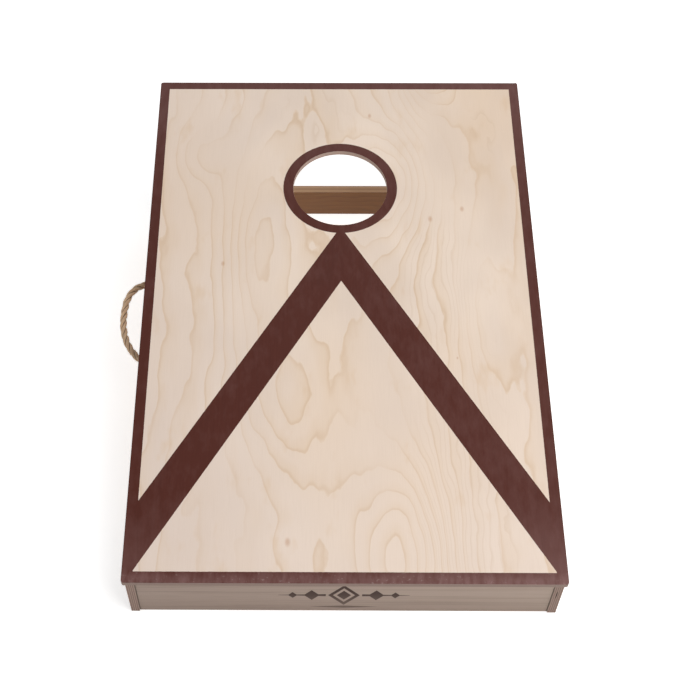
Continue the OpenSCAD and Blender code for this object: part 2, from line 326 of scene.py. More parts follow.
# ---------------------------------------------------------------- wood
def swell(shader, along, across, middle, wide, long, height):
    """A smooth hump in the figure's field: growth rings run round it as long ovals."""
    sideways = (across - middle[0]) / wide
    lengthways = (along - middle[1]) / long
    squared = sideways * sideways + lengthways * lengthways
    return shader.math("POWER", math.e, squared * -1.0) * height


def figure(shader, along, across, rings, seed, swells=(), waver=1.0):
    """The growth rings of sliced wood: their field, a sharp line each, and the soft shade beside it.

    rings is how many there are in a metre across the grain, and waver how far they stray.
    """
    broad = shader.noise(shader.vector(across * 3.2, along * 0.95, seed), 1.0, 1.0)
    middling = shader.noise(shader.vector(across * 13.0, along * 4.2, seed + 3.0), 1.0, 2.0)
    fine = shader.noise(shader.vector(across * 70.0, along * 30.0, seed + 7.0), 1.0, 2.0)
    wavy = shader.noise(shader.vector(across * 34.0, along * 13.0, seed + 5.0), 1.0, 1.0)
    field = across * rings
    for wander, reach in ((broad, 6.0), (middling, 2.0), (fine, 0.36), (wavy, 1.4)):
        field = field + (wander - 0.5) * (reach * waver)
    for middle, wide, long, height in swells:
        field = field + swell(shader, along, across, middle, wide, long, height)
    turn = shader.math("FRACT", field)
    strength = shader.noise(shader.vector(across * 9.0, along * 3.0, seed + 21.0), 1.0, 2.0)
    line = shader.step(turn, 0.18, 0.0) * shader.step(turn, 0.0, 0.045)
    line = line * shader.step(strength, 0.28, 0.60)
    shade = shader.step(turn, 0.66, 0.0) * shader.step(strength, 0.25, 0.70)
    return field, line, shade


def pin_knot(shader, along, across, middle, size):
    """A small tight knot: 1 at its heart, fading to 0 at its rim."""
    sideways = (across - middle[0]) / size
    lengthways = (along - middle[1]) / (size * 1.7)
    reach = shader.math("SQRT", sideways * sideways + lengthways * lengthways)
    return shader.step(reach, 1.0, 0.15)


def fibres(shader, along, across, seed, across_scale=900.0, along_scale=22.0):
    """The fine streaks along the grain."""
    return shader.noise(shader.vector(across * across_scale, along * along_scale, seed), 1.0, 3.0, 0.6)


# Tints of plywood edges: two of the pale plies, two of the dark ones, and the glue's
BARE_PLIES = (rgb(214, 186, 150), rgb(232, 208, 176),
              rgb(150, 112, 78), rgb(200, 164, 126), rgb(120, 86, 60))
# The taupe plies are the bare tints made greyer and darker, partly as painted shade on edges that face away
# from the light
SHADED_TAUPE_PLIES = (rgb(140, 119, 109), rgb(152, 131, 120),
                 rgb(108, 87, 77), rgb(130, 107, 97), rgb(84, 63, 55))
LEG_PLIES = (rgb(178, 150, 122), rgb(188, 160, 132),
             rgb(156, 128, 102), rgb(174, 146, 120), rgb(124, 100, 78))


def plies(shader, through, sideways, count, thickness, seed, tints=BARE_PLIES):
    """Colour of a plywood edge, from the place through the sheet: plies by turns, and glue lines."""
    layer = through * (count / thickness)
    turn = shader.math("FRACT", layer)
    odd = shader.math("FRACT", shader.math("FLOOR", layer) * 0.5) * 2.0
    glue = shader.greatest(shader.step(turn, 0.10, 0.0), shader.step(turn, 0.90, 1.0))
    pores = shader.noise(shader.vector(sideways * 700.0, through * 2400.0, seed), 1.0, 2.0)
    streaks = shader.noise(shader.vector(sideways * 60.0, through * 3000.0, seed + 2.0), 1.0, 2.0)
    light = shader.blend(streaks, tints[0], tints[1])
    dark = shader.blend(pores, tints[2], tints[3])
    ply = shader.blend(odd, light, dark)
    return shader.blend(glue * 0.55, ply, tints[4])


# Where the deck's figure loops: the middle on the deck, half width, half length and how many rings
RING_LOOPS = [
    ((0.150, 0.955), 0.048, 0.120, 5.8),
    ((0.080, 0.690), 0.062, 0.110, -4.6),
    ((0.214, 0.430), 0.034, 0.170, 1.9),
    ((-0.125, 0.560), 0.052, 0.190, 3.8),
    ((-0.085, 0.285), 0.060, 0.120, 3.1),
    ((0.078, 0.030), 0.064, 0.150, -5.6),
    ((-0.225, 0.740), 0.040, 0.060, 2.0),
    ((-0.080, 0.062), 0.012, 0.020, 0.6),
]
# Where fine straight rings crowd together: the middle, half width and half length
RING_CROWDS = [
    ((-0.050, 0.830), 0.045, 0.090),
    ((0.145, 0.500), 0.045, 0.130),
    ((0.165, 0.110), 0.055, 0.120),
    ((0.235, 0.800), 0.025, 0.110),
]
# The deck's pin knots: the middle and half width
PIN_KNOTS = [
    ((0.192, 0.632), 0.0045),
    ((0.141, 0.612), 0.0050),
    ((-0.182, 0.525), 0.0040),
    ((0.170, 0.355), 0.0020),
    ((-0.077, 0.060), 0.0055),
    ((0.050, 0.826), 0.0040),
]


def crowded_rings(shader, x, y, field, cloud):
    """The fine lines where rings crowd together."""
    turn = shader.math("FRACT", field * 3.0 + (cloud - 0.5) * 1.5)
    crowded = shader.noise(shader.vector(x * 7.0, y * 2.2, 37.0), 1.0, 1.0) * 0.8 - 0.30
    for middle, wide, long in RING_CROWDS:
        crowded = crowded + swell(shader, y, x, middle, wide, long, 0.75)
    patch = shader.step(crowded, 0.15, 0.55)
    return shader.step(turn, 0.34, 0.0) * shader.step(turn, 0.0, 0.06) * patch


def birch_veneer(shader, x, y, field, line, shade, fibre):
    """The colour of the bare wood: clouds, growth rings, smudges, pin knots and fibres, and painted light
    towards the front end.
    """
    cloud = shader.noise(shader.vector(x * 9.0, y * 5.0, 11.0), 1.0, 2.0)
    warmth = shader.noise(shader.vector(x * 5.0, y * 2.4, 17.0), 1.0, 1.0)
    smudge = shader.noise(shader.vector(x * 26.0, y * 11.0, 41.0), 1.0, 3.0, 0.6)
    # Painted light: the wood is painted paler towards the board's front end, where the light falls stronger
    lit_front_end = shader.step(y, 0.55, 0.0)
    left_side = shader.step(x, 0.0, -0.3)
    top_right = shader.step(x, 0.05, 0.28) * shader.step(y, 0.5, 0.85)
    bare = shader.blend(shader.step(cloud, 0.3, 0.7), rgb(227, 208, 192), rgb(238, 219, 202))
    bare = shader.coats(
        bare,
        (shader.step(warmth, 0.42, 0.75) * 0.8, rgb(236, 213, 190)),
        (lit_front_end * 0.45, rgb(234, 216, 204)),
        (left_side * 0.35, rgb(226, 208, 198)),
        (top_right * 0.35, rgb(222, 194, 166)),
        (shade * 0.38, rgb(223, 195, 164)),
        (line * 0.36, rgb(206, 170, 130)),
        (crowded_rings(shader, x, y, field, cloud) * 0.22, rgb(200, 169, 134)),
        (shader.step(smudge, 0.58, 0.76) * 0.34, rgb(220, 188, 152)),
    )
    for middle, size in PIN_KNOTS:
        bare = shader.blend(pin_knot(shader, y, x, middle, size) * 0.40, bare, rgb(184, 124, 70))
    return shader.blend(shader.step(fibre, 0.62, 0.30) * 0.07, bare, rgb(196, 172, 150))


def painted_pattern(shader, x, y, reach):
    """1 inside the border, the ring and the triangle's two bands, and 0 on the bare wood."""
    wander = (shader.noise(shader.vector(x * 260.0, y * 260.0), 1.0, 2.0) - 0.5) * 0.0005
    side = shader.size(x)
    roof = y + side * TENT_SLOPE
    square_to_band = 1.0 / math.hypot(1.0, TENT_SLOPE)
    band = shader.least(TENT_OUTER - roof, roof - TENT_INNER) * square_to_band
    edge = shader.greatest(side - BORDER_HALF, BORDER_FRONT - y, y - BORDER_REAR,
                           RING_RADIUS - reach, band)
    return shader.step(edge + wander, -PAINT_SOFT, PAINT_SOFT)


def brown_paint(shader, x, y, line):
    """The paint's colour: brush streaks, scuffs, painted light towards the front and right, pale flecks
    along the front and rings showing through.
    """
    streak = shader.noise(shader.vector(x * 420.0, y * 16.0, 23.0), 1.0, 3.0, 0.6)
    haze = shader.noise(shader.vector(x * 14.0, y * 14.0, 29.0), 1.0, 3.0)
    blotch = shader.noise(shader.vector(x * 90.0, y * 34.0, 43.0), 1.0, 3.0, 0.6)
    speck = shader.noise(shader.vector(x * 170.0, y * 230.0, 47.0), 1.0, 3.0)
    # Painted light makes the paint paler towards the front and the right side; scuffs make it paler in haze
    # and blotches, and it is also paler towards the rear
    wear_and_light = shader.step(y, 0.16, 0.0) * 0.25
    wear_and_light = wear_and_light + shader.step(y + haze * 0.012, 0.024, 0.010) * 0.27
    wear_and_light = wear_and_light + shader.step(y, 0.60, 0.90) * 0.22
    wear_and_light = wear_and_light + shader.step(x, -0.1, 0.34) * (0.10 + shader.step(y, 0.1, 0.0) * 0.16)
    wear_and_light = wear_and_light + shader.step(haze, 0.45, 0.85) * 0.12
    wear_and_light = wear_and_light + (blotch - 0.5) * (0.4 + shader.step(y, 0.030, 0.0) * 1.3)
    near_front = shader.step(y, 0.024, 0.002)
    fleck = shader.step(speck, 0.60, 0.70) * near_front * shader.step(blotch, 0.40, 0.55)
    return shader.coats(
        shader.blend(streak, rgb(76, 33, 24), rgb(87, 41, 31)),
        # the pale tint of the scuffs and of the painted light
        (wear_and_light * 0.75, rgb(140, 106, 103)),
        (fleck * 0.30, rgb(186, 164, 158)),
        (line * 0.12, rgb(66, 38, 32)),
    )


def deck_material():
    """Clear-coated birch veneer with the painted border, ring and triangle, and ply edges."""
    shader = Shader("deck_plywood")
    x, y, z = shader.in_deck_frame()
    facing = shader.facing_in_deck_frame()
    flat = shader.step(shader.size(facing[2]), 0.55, 0.75)
    upper = shader.step(facing[2], 0.35, 0.6)
    reach = shader.math("SQRT", x * x + (y - HOLE_MIDDLE) * (y - HOLE_MIDDLE))
    field, line, shade = figure(shader, y, x, rings=22.0, seed=2.0, swells=RING_LOOPS, waver=0.6)
    fibre = fibres(shader, y, x, 5.0)

    painted = painted_pattern(shader, x, y, reach) * upper
    bare = birch_veneer(shader, x, y, field, line, shade, fibre)
    top = shader.blend(painted, bare, brown_paint(shader, x, y, line))

    # The plies take the taupe tints, partly painted shade; they are a little darker round the sheet, and
    # paler in the hole
    ply = shader.coats(
        plies(shader, z * -1.0, x + y, 7, DECK_THICK, 31.0, SHADED_TAUPE_PLIES),
        (0.12, rgb(84, 66, 58)),
        (shader.step(reach, 0.090, 0.080) * 0.4, rgb(214, 190, 178)),
    )
    colour = shader.blend(flat, ply, top)
    rough = 0.40 + painted * 0.06 + (1.0 - flat) * 0.25
    height = fibre * 0.5 + line * -0.25 + painted * 0.5
    return shader.finish(colour, rough, height, 0.00012, 0.6, Specular_IOR_Level=0.2)


def ornament(shader, across, up):
    """1 inside a plain ornament: nested lozenges, two smaller ones a side, and tapering lines."""
    side = shader.size(across)
    high = shader.size(up)

    def lozenge(middle, wide, tall):
        return 1.0 - (shader.size(side - middle) / wide + high / tall)

    soft = 0.03
    outer = lozenge(0.0, 0.022, 0.034)
    ring = shader.step(outer, 0.0, soft) * shader.step(outer, 0.30 + soft, 0.30)
    heart = shader.step(lozenge(0.0, 0.0100, 0.0155), 0.0, soft)
    small = shader.step(lozenge(0.044, 0.0110, 0.0170), 0.0, soft)
    smaller = shader.step(lozenge(0.070, 0.0065, 0.0100), 0.0, soft)
    taper = (1.15 - side / ORNAMENT_HALF) * 0.0042
    line = shader.step(taper - high, 0.0, 0.0004) * shader.step(side, 0.0245, 0.0250)
    line = line * shader.step(side, ORNAMENT_HALF, ORNAMENT_HALF - 0.0005)
    low = shader.size(up + 0.040)
    under = shader.step((1.0 - side / 0.050) * 0.0040 - low, 0.0, 0.0004)
    return shader.greatest(ring, heart, small, smaller, line, under)


def core_void_shade(shader, depth, high):
    """1 inside the small gap in the right rail's core, which shows at its front end and is painted dark as
    the shade inside it.
    """
    across = (depth - VOID_DEEP) / VOID_HALF_WIDE
    along = (high - VOID_HIGH) / VOID_HALF_LONG
    return shader.step(across * across + along * along, 1.0, 0.6)


def rail_material(name, through, face, grain, light, dark, deep):
    """Plywood with a taupe tone on its outer faces, a greyer birch darkened further as painted shade:
    through names the axis across the sheet, face the outer face's place on it.
    """
    shader = Shader(name)
    place = shader.in_deck_frame()
    facing = shader.facing_in_deck_frame()
    axis = "xyz".index(through)
    run = "xyz".index(grain)
    other = 3 - axis - run
    flat = shader.step(shader.size(facing[axis]), 0.55, 0.75)
    _, line, shade = figure(shader, place[run], place[other], rings=60.0, seed=3.0 + axis, waver=0.6)
    fibre = fibres(shader, place[run], place[other], 6.0 + axis)
    fibrous = shader.step(fibre, 0.6, 0.3)
    cloud = shader.noise(shader.vector(place[other] * 12.0, place[run] * 5.0, 13.0), 1.0, 2.0)
    streak = shader.noise(shader.vector(place[other] * 160.0, place[run] * 3.0, 19.0), 1.0, 2.0)
    # Painted light: the rails are painted paler towards the right, where the light falls stronger
    lit_right = shader.step(place[0], -0.28, 0.28)
    shaded_low = shader.step(place[2], -0.030, -0.100)
    wood = shader.coats(
        shader.blend(cloud, light, dark),
        (shader.step(streak, 0.45, 0.75) * 0.50, deep),
        (line * 0.38, deep),
        (fibrous * 0.2, deep),
        (lit_right * 0.35, rgb(176, 158, 143)),
    )
    if name.endswith("front_rail"):
        printed = ornament(shader, place[0], place[2] - ORNAMENT_HIGH)
        wood = shader.blend(printed * 0.97, wood, rgb(46, 20, 8))
    # Painted shade: the rail is painted darker towards its bottom, near the floor
    wood = shader.blend(shaded_low * 0.5, wood, shader.blend(streak, dark, deep))
    inner = shader.blend(shade, rgb(216, 196, 170), rgb(206, 182, 152))
    inner = shader.blend(fibrous * 0.3, inner, rgb(186, 158, 126))

    depth = shader.size(place[axis] - face)
    # Ply edges in the taupe tints, partly painted shade
    ply = plies(shader, depth, place[run] + place[other], 9, RAIL_THICK, 33.0, SHADED_TAUPE_PLIES)
    if name.endswith("right_rail"):
        # Painted shade: the gap in the core is painted near black
        ply = shader.blend(core_void_shade(shader, depth, place[2]) * 0.85, ply, rgb(46, 32, 26))

    # The taupe tone, partly painted shade, is on the outer face, and wraps round the side rails' ends as
    # far as the end rails
    faces_high_side = face > RAIL_OUT / 2
    dark_toned = shader.step(facing[axis] * (1.0 if faces_high_side else -1.0), -0.3, 0.0)
    if axis == 0:
        from_middle = shader.size(place[1] - BOARD_MIDDLE)
        wrapped = shader.step(from_middle, TAUPE_WRAP, TAUPE_WRAP + TAUPE_FADE)
        dark_toned = shader.greatest(dark_toned, wrapped)
    else:
        # Painted shadow: a dark line in the gap where the end rails butt against the side rails
        joint_shadow = shader.step(shader.size(place[0]), JOINT_FROM - JOINT_SHADOW_WIDE, JOINT_FROM - JOINT_SHADOW_WIDE / 2)
        wood = shader.blend(joint_shadow * 0.65, wood, rgb(52, 38, 32))
    wood = shader.blend(dark_toned, inner, wood)
    colour = shader.blend(flat, ply, wood)
    rough = 0.55 + (1.0 - flat) * 0.2
    return shader.finish(colour, rough, fibre, 0.00012, 0.6, Specular_IOR_Level=0.1)


def plain_wood(name, light, dark, deep, rough=0.6, contrast=0.45, edges=None):
    """Solid timber or stained plywood, with its grain along the piece's longest side."""
    def make(node):
        """The material for one CAD node, from its own size and place."""
        shader = Shader(f"{name}_{node}")
        place = shader.in_deck_frame()
        low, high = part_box(node)
        # The box's two corners, turned back into the deck's frame
        low = DECK_TURN.transposed() @ (low - DECK_ORIGIN)
        high = DECK_TURN.transposed() @ (high - DECK_ORIGIN)
        spans = [abs(high[i] - low[i]) for i in range(3)]
        run = spans.index(max(spans))
        first, second = [i for i in range(3) if i != run]
        middle = sum(low) + sum(high)
        across = place[first] + place[second] * 0.6
        _, line, shade = figure(shader, place[run], across, rings=120.0, seed=40.0 + middle, waver=1.4)
        fibre = fibres(shader, place[run], across, 44.0, 700.0, 14.0)
        wood = shader.coats(
            shader.blend(shade, light, dark),
            (line * contrast, deep),
            (shader.step(fibre, 0.6, 0.3) * contrast * 0.7, deep),
        )
        if edges is not None:
            thin = spans.index(min(spans))
            facing = shader.facing_in_deck_frame()
            flat = shader.step(shader.size(facing[thin]), 0.55, 0.75)
            depth = place[thin] - min(low[thin], high[thin])
            ply = plies(shader, depth, place[run], 11, spans[thin], 35.0, edges)
            wood = shader.blend(flat, ply, wood)
        return shader.finish(wood, rough, fibre + line * -0.4, 0.00015, 0.6, Specular_IOR_Level=0.25)
    return make


# ---------------------------------------------------------------- metal, nylon and rope finishes
def steel_material(name, colour, rough):
    """Zinc-plated steel, with the faint mottling and hairline scratches of the plating."""
    shader = Shader(name)
    spot = shader.coordinates.outputs["Object"]
    mottle = shader.noise(spot, 420.0, 3.0)
    scratch = shader.noise(spot, 2600.0, 2.0, 0.7, 1.5)
    dull = tuple(channel * 0.72 for channel in colour[:3]) + (1.0,)
    tint = shader.blend(shader.step(mottle, 0.35, 0.7), colour, dull)
    roughness = rough + (mottle - 0.5) * 0.25
    return shader.finish(tint, roughness, scratch, 0.00004, 0.5, Metallic=1.0)


def nylon_material():
    """Milky moulded nylon with a slight grain."""
    shader = Shader("nylon")
    grain = shader.noise(shader.coordinates.outputs["Object"], 1500.0, 2.0)
    tint = shader.blend(grain, rgb(226, 226, 218), rgb(240, 240, 234))
    return shader.finish(tint, 0.42, grain, 0.00003, 0.4)


def jute_material():
    """Hairy jute: fibres run along each strand, with painted shade in the grooves between them."""
    shader = Shader("jute_rope")

    def mark(name):
        return Value(shader, shader.node("ShaderNodeAttribute", attribute_name=name).outputs["Fac"])

    along = mark("along")
    around = mark("around")
    hair = shader.noise(shader.vector(around * 13.0, along * 75.0, 1.0), 1.0, 3.0, 0.7)
    wisp = shader.noise(shader.vector(around * 40.0, along * 210.0, 9.0), 1.0, 2.0, 0.6)
    tuft = shader.noise(shader.vector(around * 3.0, along * 45.0, 4.0), 1.0, 2.0)
    tint = shader.coats(
        shader.blend(shader.step(hair, 0.32, 0.68), rgb(186, 142, 104), rgb(240, 212, 177)),
        (shader.step(wisp, 0.55, 0.75) * 0.5, rgb(255, 240, 216)),
        (shader.step(wisp, 0.42, 0.28) * 0.5, rgb(158, 112, 76)),
        (shader.step(tuft, 0.48, 0.78) * 0.55, rgb(236, 166, 116)),
        # Painted shade: dark brown in the grooves and on the strands' sides that face the rope's middle
        (shader.step(mark("groove_shade"), 0.0, 1.0) * 0.92, rgb(74, 44, 28)),
    )
    height = hair * 0.7 + wisp * 0.5
    return shader.finish(tint, 0.9, height, 0.0007, 1.0, Sheen_Weight=0.2, Sheen_Roughness=0.5)


def lit_hair_material():
    """Single jute fibres, painted paler than the rope they stand off, as painted light shining through
    them.
    """
    shader = Shader("jute_hair_lit")
    shift = shader.noise(shader.coordinates.outputs["Object"], 300.0, 2.0)
    # Painted light: pale tints in place of the light that shines through thin fibres
    tint = shader.blend(shift, rgb(206, 180, 140), rgb(240, 222, 190))
    return shader.finish(tint, 0.7, shift, 0.00005, 0.3, Sheen_Weight=0.2, Sheen_Roughness=0.5)


# ---------------------------------------------------------------- making pieces
def new_piece(name, mesh, body, material):
    """Links a mesh as a piece that rides on a body and takes its finish from a slot."""
    piece = bpy.data.objects.new(name, mesh)
    bpy.context.scene.collection.objects.link(piece)
    mesh.materials.clear()
    mesh.materials.append(material)
    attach(piece, body)
    return piece


def body_of(node):
    """The name of the body that a CAD node belongs to."""
    for body, members in record["behaviour"]["bodies"].items():
        if node in members:
            return body
    raise ValueError(node)


def smooth_line(points, steps):
    """A Catmull-Rom curve through the points."""
    line = []
    last = len(points) - 1
    for i in range(last):
        before, start = points[max(i - 1, 0)], points[i]
        end, after = points[i + 1], points[min(i + 2, last)]
        for k in range(steps):
            t = k / steps
            line.append(0.5 * (2.0 * start + (end - before) * t
                               + (2.0 * before - 5.0 * start + 4.0 * end - after) * t * t
                               + (3.0 * start - before - 3.0 * end + after) * t ** 3))
    line.append(points[last].copy())
    return line


def evenly(line, spacing):
    """The same line with points the same distance apart, and its length."""
    lengths = [0.0]
    for a, b in zip(line, line[1:]):
        lengths.append(lengths[-1] + (b - a).length)
    total = lengths[-1]
    count = max(2, round(total / spacing))
    even = []
    k = 0
    for i in range(count + 1):
        want = total * i / count
        while k < len(line) - 2 and lengths[k + 1] < want:
            k += 1
        share = (want - lengths[k]) / max(lengths[k + 1] - lengths[k], 1e-9)
        even.append(line[k].lerp(line[k + 1], min(max(share, 0.0), 1.0)))
    return even, total


def frames_along(line):
    """A heading and two directions square to it at each point, turning as little as possible."""
    headings = []
    for i in range(len(line)):
        a, b = line[max(i - 1, 0)], line[min(i + 1, len(line) - 1)]
        headings.append((b - a).normalized())
    side = headings[0].orthogonal().normalized()
    frames = []
    for heading in headings:
        side = (side - heading * side.dot(heading)).normalized()
        frames.append((heading, side, heading.cross(side)))
    return frames


class Tubes:
    """Gathers round tubes into one mesh, with how far along and around each point is."""

    def __init__(self):
        self.points = []
        self.faces = []
        self.marks = {"along": [], "around": [], "groove_shade": []}

    def add(self, line, radius, sides, start=0.0, yarns=0, yarn_turn=0.0, axis=None):
        """A tube along line. radius(share) gives its size, and yarns is how many ridges twist round it.

        axis is the rope's middle line, where the tube is one strand of a rope.
        """
        base = len(self.points)
        travelled = start
        frames = frames_along(line)
        for i, (_, side, rise) in enumerate(frames):
            if i:
                travelled += (line[i] - line[i - 1]).length
            size = radius(i / (len(line) - 1))
            for k in range(sides):
                turn = math.tau * k / sides
                ridge = math.cos(yarns * (turn + travelled * yarn_turn)) if yarns else 0.0
                out = side * math.cos(turn) + rise * math.sin(turn)
                self.points.append(line[i] + out * size * (1.0 + YARN_RIDGE * ridge))
                # The side that faces the rope's own middle line lies in the groove, and is marked for
                # painted shade
                inward = 0.0
                if axis is not None:
                    towards = axis[i] - line[i]
                    leaning = out.dot(towards.normalized()) if towards.length > 1e-6 else 0.0
                    inward = max(0.0, (leaning + 0.30) / 0.72)
                self.marks["along"].append(travelled)
                self.marks["around"].append(turn + travelled * yarn_turn)
                self.marks["groove_shade"].append(min(1.0, inward + max(0.0, -ridge) ** 2 * 0.25))
        for i in range(len(line) - 1):
            for k in range(sides):
                a = base + i * sides + k
                b = base + i * sides + (k + 1) % sides
                self.faces.append((a, b, b + sides, a + sides))
        self.faces.append(tuple(base + k for k in range(sides - 1, -1, -1)))
        last = base + (len(line) - 1) * sides
        self.faces.append(tuple(last + k for k in range(sides)))

    def mesh(self, name):
        """One smooth mesh of all the tubes, with the marks as attributes for the shader."""
        mesh = bpy.data.meshes.new(name)
        mesh.from_pydata([tuple(p) for p in self.points], [], self.faces)
        for mark, values in self.marks.items():
            layer = mesh.attributes.new(mark, "FLOAT", "POINT")
            layer.data.foreach_set("value", values)
        mesh.shade_smooth()
        return mesh


def lay_rope(tubes, line, phase=0.0, loosen=None, sides=22):
    """Three strands laid right-handed round a line. loosen(share) spreads them at a frayed end."""
    frames = frames_along(line)
    travelled = [0.0]
    for a, b in zip(line, line[1:]):
        travelled.append(travelled[-1] + (b - a).length)
    for strand in range(3):
        path = []
        for i, (_, side, rise) in enumerate(frames):
            turn = phase + math.tau * (travelled[i] / ROPE_LAY + strand / 3.0)
            spread = 1.0 if loosen is None else loosen(i / (len(line) - 1))
            out = side * math.cos(turn) + rise * math.sin(turn)
            path.append(line[i] + out * STRAND_OUT * spread)
        tubes.add(path, lambda share: STRAND_RADIUS, sides, strand * 0.37,
                  yarns=7, yarn_turn=-90.0, axis=line)


def fuzz(tubes, line, count, reach, longest=0.009):
    """Loose fibres that stand off a rope: each rises by about reach and bends back down a little."""
    frames = frames_along(line)
    for _ in range(count):
        i = random.randrange(1, len(line) - 1)
        heading, side, rise = frames[i]
        turn = random.uniform(0.0, math.tau)
        out = side * math.cos(turn) + rise * math.sin(turn)
        sideways = heading.cross(out)
        length = random.uniform(0.35, 1.0) * longest
        lean = heading * random.choice((-1.0, 1.0)) * random.uniform(0.6, 1.0)
        lean = lean + sideways * random.uniform(-0.6, 0.6)
        root = line[i] + out * (ROPE_WIDE / 2 - HAIR_ROOT)
        hair = []
        for k in range(HAIR_STEPS + 1):
            share = k / HAIR_STEPS
            hair.append(root + lean * length * share + out * reach * math.sin(share * 2.2))
        tubes.add(hair, lambda share: HAIR_RADIUS * (1.0 - 0.6 * share), 3, i * 0.01)


# ---------------------------------------------------------------- rope handle and its knots
jute = jute_material()
jute_hair_lit = lit_hair_material()
rope_points = [on_deck(-RAIL_OUT + RAIL_THICK, ROPE_MIDDLE + ROPE_HALF_SPAN, ROPE_HIGH)]
for out, along, up in ROPE_LOOP:
    rope_points.append(on_deck(-RAIL_OUT - out, ROPE_MIDDLE + along, ROPE_HIGH + up))
rope_points.append(on_deck(-RAIL_OUT + RAIL_THICK, ROPE_MIDDLE - ROPE_HALF_SPAN, ROPE_HIGH))
rope_line, rope_length = evenly(smooth_line(rope_points, 12), ROPE_SPACING)

rope_tubes = Tubes()
lay_rope(rope_tubes, rope_line)
rope = new_piece("handle_rope", rope_tubes.mesh("handle_rope"), "board", jute)
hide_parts("rope_handle")

hair_tubes = Tubes()
fuzz(hair_tubes, rope_line[ROPE_IN_HOLE:-ROPE_IN_HOLE], count=230, reach=0.0017)
hair_mesh = hair_tubes.mesh("handle_rope_hairs")
hair = new_piece("handle_rope_hairs", hair_mesh, "board", jute_hair_lit)

KNOT_DEEP = 0.0212  # where the wraps start, from the rail's inner face
WRAP_TRAVEL = 0.0160  # how far back towards the rail they go
WRAP_OUT = 0.0088
WRAP_TURNS = 2.35
WRAP_POINTS = 26
WRAP_START = 0.6  # the angle of the first wrap's start
TAIL_END = 0.037  # where the cut end is, from the rail's inner face
FRAYED_FROM = 0.93  # the share of the rope's length where the end starts to loosen


def stopper_knot(name, node, end):
    """A barrel knot inside the rail: the rope wraps round itself and its cut end sticks out.

    end is 1 for the rear hole and -1 for the front one.
    """
    start = on_deck(-RAIL_OUT + RAIL_THICK, ROPE_MIDDLE + end * ROPE_HALF_SPAN, ROPE_HIGH)
    inward, up, along = deck_way(1, 0, 0), deck_way(0, 0, 1), deck_way(0, 1, 0)

    def at(depth, out, turn):
        return start + inward * depth + (up * math.cos(turn) + along * math.sin(turn)) * out

    points = [at(0.0, 0.0, 0.0), at(0.010, 0.0010, 0.0), at(0.018, 0.0030, 0.2)]
    for i in range(WRAP_POINTS + 1):
        share = i / WRAP_POINTS
        turn = WRAP_START + math.tau * WRAP_TURNS * share
        points.append(at(KNOT_DEEP - WRAP_TRAVEL * share, WRAP_OUT, turn))
    # The end tucks back under the wraps, along the rope, and out
    for depth, out, further in [(0.0075, 0.0072, 0.7), (0.014, 0.0052, 1.1), (0.024, 0.0040, 1.2),
                                (0.031, 0.0030, 1.2), (TAIL_END, 0.0020, 1.2)]:
        points.append(at(depth, out, turn + further))
    line, _ = evenly(smooth_line(points, 10), 0.0013)

    def loosen(share):
        return 1.0 + 0.35 * max(0.0, (share - FRAYED_FROM) / (1.0 - FRAYED_FROM)) ** 2

    tubes = Tubes()
    lay_rope(tubes, line, end * 2.0, loosen, 16)
    fuzz(tubes, line[-10:], count=60, reach=0.0012, longest=0.006)
    fuzz(tubes, line[30:-12], count=60, reach=0.0008, longest=0.006)
    knot = new_piece(name, tubes.mesh(name), "board", jute)
    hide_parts(node)
    return knot


knots = [
    stopper_knot("handle_knot_front", "rope_knot_front", -1.0),
    stopper_knot("handle_knot_rear", "rope_knot_rear", 1.0),
]

# ---------------------------------------------------------------- wooden pieces
WELD = 2e-6  # CAD points closer than this are one point
SHARP = math.radians(40)
SMOOTH = math.radians(30)
SHORTEST_EASED = 0.0022


def eased(node, width, material):
    """A copy of a wooden CAD node with its sharp arrises eased, shown in the node's place."""
    work = bmesh.new()
    work.from_mesh(frame["nodes"][node].data)
    bmesh.ops.remove_doubles(work, verts=work.verts, dist=WELD)
    weights = work.edges.layers.float.new("bevel_weight_edge")
    for edge in work.edges:
        if len(edge.link_faces) != 2:
            continue
        if edge.calc_face_angle() > SHARP and edge.calc_length() > SHORTEST_EASED:
            edge[weights] = 1.0
    mesh = bpy.data.meshes.new(f"{node}_eased")
    work.to_mesh(mesh)
    work.free()
    custom = mesh.attributes.get("custom_normal")
    if custom is not None:
        mesh.attributes.remove(custom)
    mesh.shade_smooth()
    mesh.set_sharp_from_angle(angle=SMOOTH)
    piece = new_piece(f"{node}_eased", mesh, body_of(node), material)
    ease = piece.modifiers.new("ease", "BEVEL")
    ease.width = width
    ease.segments = 2
    ease.limit_method = "WEIGHT"
    ease.use_clamp_overlap = False
    ease.harden_normals = True
    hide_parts(node)
    return piece


eased("deck", 0.0008, deck_material())

# The rails' taupe tones: a greyer birch, darkened further as painted shade
taupe_in_shade = (rgb(151, 133, 121), rgb(143, 125, 114), rgb(108, 90, 79))
rails = {
    "front_rail": ("y", RAIL_FRONT, "x"),
    "rear_rail": ("y", RAIL_REAR, "x"),
    "left_rail": ("x", -RAIL_OUT, "y"),
    "right_rail": ("x", RAIL_OUT, "y"),
}
for node, (through, face, grain) in rails.items():
    finish = rail_material(f"rail_plywood_{node}", through, face, grain, *taupe_in_shade)
    eased(node, 0.0007, finish)

pine = plain_wood("inner_timber", rgb(222, 194, 150), rgb(206, 170, 122), rgb(160, 112, 70))
dark_toned = plain_wood("leg_plywood", rgb(114, 77, 44), rgb(103, 69, 39), rgb(78, 48, 26),
                     rough=0.5, contrast=0.3, edges=LEG_PLIES)
bare_ply = plain_wood("inner_plywood", rgb(216, 194, 164), rgb(204, 180, 150), rgb(170, 142, 112),
                      edges=BARE_PLIES)
for node in frame["nodes"]:
    if node.startswith(("batten", "corner_block")):
        eased(node, 0.0006, pine(node))
    elif node == "centre_brace":
        eased(node, 0.0006, bare_ply(node))
    elif node.startswith("leg_") and "spacer" not in node:
        eased(node, 0.0010, dark_toned(node))

